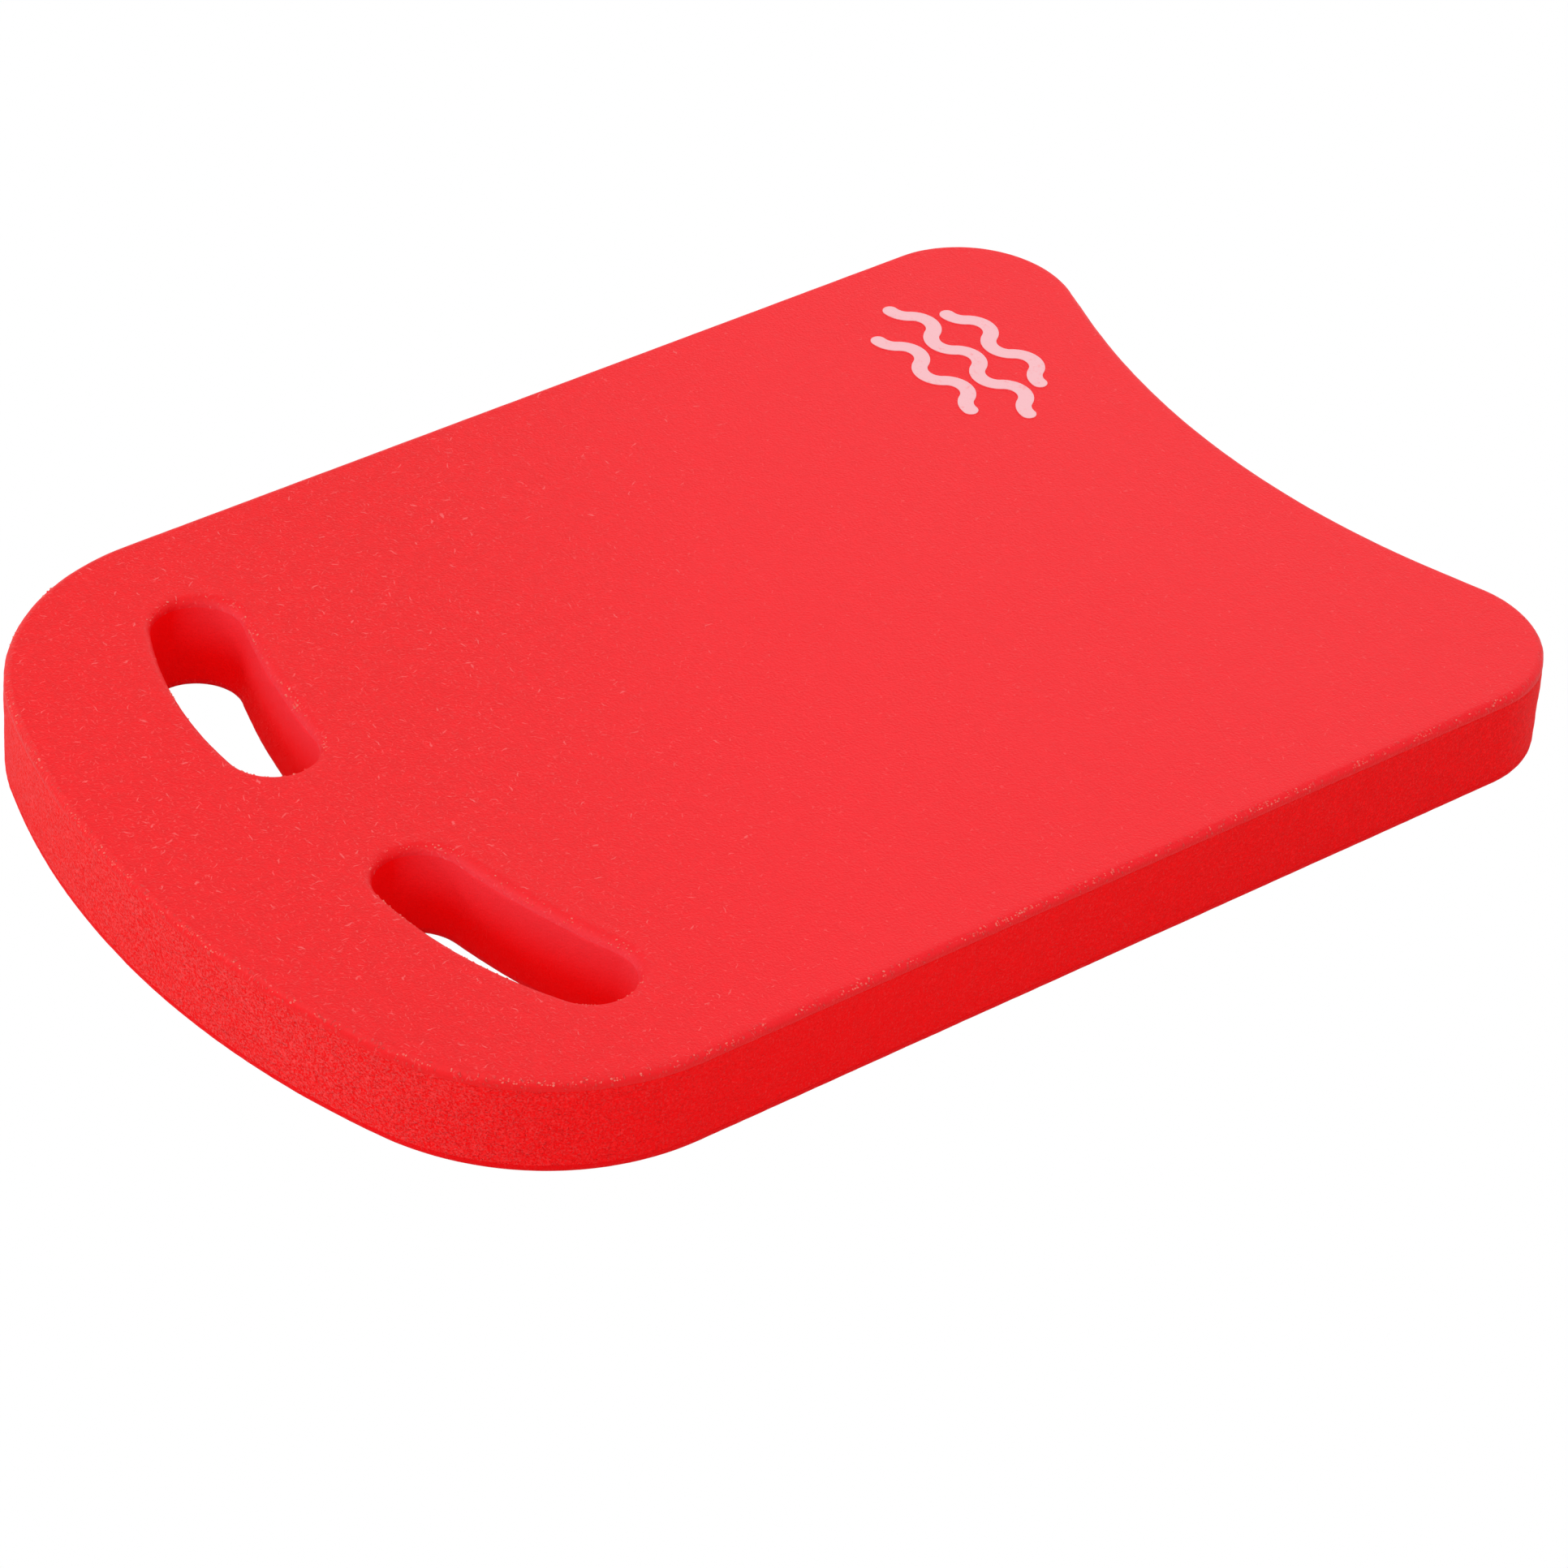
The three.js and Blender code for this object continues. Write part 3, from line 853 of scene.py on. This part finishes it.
def rim_nibs(sheet):
    """Small nibs of foam left along the upper rims by the cutter."""
    draw = random.Random(NIB_SEED)
    places = vertex_places(sheet)
    normals = vertex_normals(sheet)
    nibbed = places[:, :2] @ np.array(NIB_HEADING) > NIB_SIDE
    crest = np.flatnonzero((normals[:, 2] > CREST_LOW) & (normals[:, 2] < CREST_HIGH) & nibbed)
    deselect_all()
    bpy.ops.mesh.primitive_ico_sphere_add(subdivisions=1, radius=1.0)
    first = bpy.context.object
    first.name = "rim_nibs"
    copies = []
    for _ in range(NIB_CLUSTERS):
        middle = places[crest[draw.randrange(len(crest))]]
        near = crest[np.linalg.norm(places[crest] - middle, axis=1) < NIB_REACH]
        for _ in range(draw.randint(*NIBS_IN_CLUSTER)):
            place = Vector(places[near[draw.randrange(len(near))]])
            nib = first.copy()
            nib.data = first.data.copy()
            size = draw.uniform(*NIB_SIZE)
            first_side = size * draw.uniform(*NIB_STRETCH)
            second_side = size * draw.uniform(*NIB_STRETCH)
            nib.location = place
            nib.scale = (first_side, second_side, size * NIB_HEIGHT)
            tilt = (draw.uniform(-NIB_TILT, NIB_TILT), draw.uniform(-NIB_TILT, NIB_TILT))
            nib.rotation_euler = (*tilt, draw.uniform(0, math.pi))
            bpy.context.collection.objects.link(nib)
            copies.append(nib)
    bpy.data.objects.remove(first)
    deselect_all()
    for nib in copies:
        nib.select_set(True)
    bpy.context.view_layer.objects.active = copies[0]
    bpy.ops.object.join()
    nibs = bpy.context.object
    nibs.name = "rim_nibs"
    nibs.data.name = "rim_nibs"
    bpy.ops.object.transform_apply(location=True, rotation=True, scale=True)
    bpy.ops.object.shade_smooth()
    give_material(nibs, CRUMB_FOAM)
    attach(nibs, "root")


# ------------------------------------------------------------------ camera, light and floor
def way_out(azimuth, elevation):
    """The direction outwards from the board, in degrees. Azimuth 0 is past the nose, 90 to the right."""
    turn = math.radians(azimuth)
    rise = math.radians(elevation)
    level = math.cos(rise)
    return Vector((math.sin(turn) * level, -math.cos(turn) * level, math.sin(rise)))


def add_camera():
    """Looks down on the board from the right of its nose, through a long lens."""
    roll = math.radians(4.091)
    target = Vector((44.58, -16.0, 16.8)) * MM
    distance = 2066.49 * MM
    back = way_out(49.823, 36.921)
    deselect_all()
    bpy.ops.object.camera_add(location=target + back * distance)
    camera = bpy.context.object
    camera.name = "camera"
    camera.rotation_mode = "QUATERNION"
    camera.rotation_quaternion = (-back).to_track_quat("-Z", "Y") @ Quaternion((0, 0, 1), roll)
    camera.data.sensor_width = 36
    camera.data.lens = 156.5
    bpy.context.scene.camera = camera


def add_panel_light(name, azimuth, elevation, distance, size, power):
    """A soft square light that faces the middle of the board."""
    away = way_out(azimuth, elevation)
    deselect_all()
    bpy.ops.object.light_add(type="AREA", location=away * distance)
    light = bpy.context.object
    light.name = name
    light.rotation_mode = "QUATERNION"
    light.rotation_quaternion = (-away).to_track_quat("-Z", "Y")
    light.data.size = size
    light.data.energy = power


def add_spot_light(name, place, aim, cone, power):
    """A soft round beam from one place to another."""
    deselect_all()
    bpy.ops.object.light_add(type="SPOT", location=place)
    light = bpy.context.object
    light.name = name
    light.rotation_mode = "QUATERNION"
    light.rotation_quaternion = (Vector(aim) - Vector(place)).to_track_quat("-Z", "Y")
    light.data.spot_size = math.radians(cone)
    light.data.spot_blend = 1.0
    light.data.shadow_soft_size = 0.15
    light.data.energy = power


def add_floor():
    """A pale floor that stays plain white to the eye and lights the board's sides."""
    deselect_all()
    bpy.ops.mesh.primitive_plane_add(size=FLOOR_SIZE, location=(0, 0, -FLOOR_GAP))
    floor = bpy.context.object
    floor.name = "studio_floor"
    material = bpy.data.materials.new("studio_floor")
    material.use_nodes = True
    tree = material.node_tree
    tree.nodes.clear()
    seen = add_node(tree, "ShaderNodeLightPath").outputs["Is Camera Ray"]
    matt = add_node(tree, "ShaderNodeBsdfDiffuse", {"Color": FLOOR_SHADE}).outputs["BSDF"]
    plain = add_node(tree, "ShaderNodeEmission", {"Color": WHITE, "Strength": 1.0}).outputs["Emission"]
    mixed = add_node(tree, "ShaderNodeMixShader", {0: seen, 1: matt, 2: plain}).outputs["Shader"]
    add_node(tree, "ShaderNodeOutputMaterial", {"Surface": mixed})
    floor.data.materials.append(material)


def set_world():
    """An even pale sky, which is plain white to the eye."""
    world = bpy.data.worlds.new("studio")
    world.use_nodes = True
    tree = world.node_tree
    tree.nodes.clear()
    seen = add_node(tree, "ShaderNodeLightPath").outputs["Is Camera Ray"]
    strength = calculate(tree, "MULTIPLY_ADD", seen, 1 - SKY_LIGHT, SKY_LIGHT)
    sky = add_node(tree, "ShaderNodeBackground", {"Color": WHITE, "Strength": strength})
    add_node(tree, "ShaderNodeOutputWorld", {"Surface": sky.outputs["Background"]})
    bpy.context.scene.world = world


# ------------------------------------------------------------------ the scene
bpy.context.scene.view_settings.view_transform = "Standard"
add_camera()
set_world()
add_floor()
add_panel_light("front_panel", azimuth=20, elevation=41, distance=2.0, size=1.2, power=7.0)
add_spot_light("nose_light", place=(-0.95, -1.25, 0.75), aim=(-0.27, -0.42, 0.0), cone=34, power=15.0)
add_panel_light("tail_panel", azimuth=-148.6, elevation=27, distance=1.32, size=1.0, power=2.8)

blank = board_blank()
core = foam_layer(blank, "foam_core_block", LOWER_BOND, UPPER_BOND)
top = foam_layer(blank, "top_skin_sheet", UPPER_BOND, THICKNESS)
under = foam_layer(blank, "under_skin_sheet", 0, LOWER_BOND)
bpy.data.objects.remove(blank)
divide_walls(core)
for layer in (core, top, under):
    mark_foam(layer)
    add_relief(layer, *BROAD_LUMPS)
    add_relief(layer, *FINE_LUMPS)
finish_foam(core, "foam_core", CUT_FOAM)
finish_foam(top, "top_sheet", TOP_SKIN)
finish_foam(under, "bottom_sheet", UNDER_SKIN)
for row in (1, 2, 3):
    printed_wave(f"ink_wave_{row}", f"printed_wave_{row}")
rim_nibs(top)
